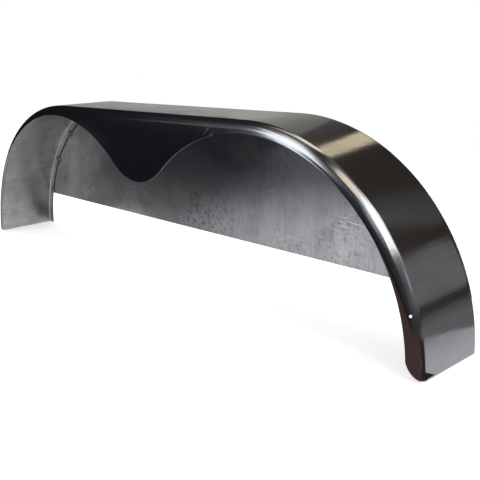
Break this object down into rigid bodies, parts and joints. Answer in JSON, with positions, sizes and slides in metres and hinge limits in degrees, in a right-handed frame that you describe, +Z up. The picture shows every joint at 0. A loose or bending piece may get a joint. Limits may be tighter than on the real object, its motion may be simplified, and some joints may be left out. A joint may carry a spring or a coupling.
{
  "type": "tandem axle trailer mudguard",
  "caption": "Sheet steel mudguard for a trailer's twin axles, with a rolled outer edge, a teardrop skirt between the wheels and a flat back plate held by weld tacks.",
  "frame": {"origin": "centre of the footprint, on the surface that the two feet stand on", "axes": "+X along the mudguard, +Y from the open skirt side towards the back plate, +Z up"},
  "size_m": [1.829, 0.229, 0.495],
  "materials": {
    "skin_steel": "bare cold rolled sheet, smooth and bright outside, with an oily mill sheen",
    "plate_steel": "bare cold rolled sheet, dull and mottled, with fine vertical streaks, smudges and a few scratches",
    "weld_metal": "solidified weld beads, rough, with dark heat marks round them"
  },
  "bodies": {
    "root": {"fender_skin": "skin_steel", "back_plate": "plate_steel", "tack_welds": "weld_metal"}
  },
  "joints": []
}
